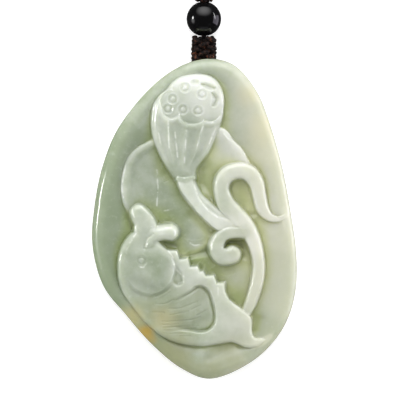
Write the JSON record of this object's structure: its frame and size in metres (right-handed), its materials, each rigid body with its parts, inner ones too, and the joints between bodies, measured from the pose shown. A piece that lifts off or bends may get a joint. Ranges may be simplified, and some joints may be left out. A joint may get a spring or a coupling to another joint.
{
  "type": "jade plaque",
  "caption": "Carved jade pendant plaque with a carp, lotus leaf, seed pod and scrolling stem in relief, hung from a braided knot, round bead and neck cord.",
  "frame": {"origin": "middle of the stone's box, on the flat back that it lies on", "axes": "+Y towards the top edge that the cord leaves from, +Z out of the carved face, +X to the right as the carving is looked at"},
  "size_m": [0.0354, 0.104, 0.009],
  "materials": {
    "jade": "pale green jade with creamy and honey areas, polished, slightly see-through",
    "black_stone": "black, highly polished",
    "cord": "dark brown twisted and braided cord"
  },
  "bodies": {
    "root": {"jade_plaque": "jade", "hanging_thread": "cord", "braided_knot": "cord", "bead": "black_stone", "bead_thread": "cord", "upper_knot": "cord", "necklace_lead_left": "cord", "necklace_lead_right": "cord", "necklace_coil": "cord"}
  },
  "joints": []
}
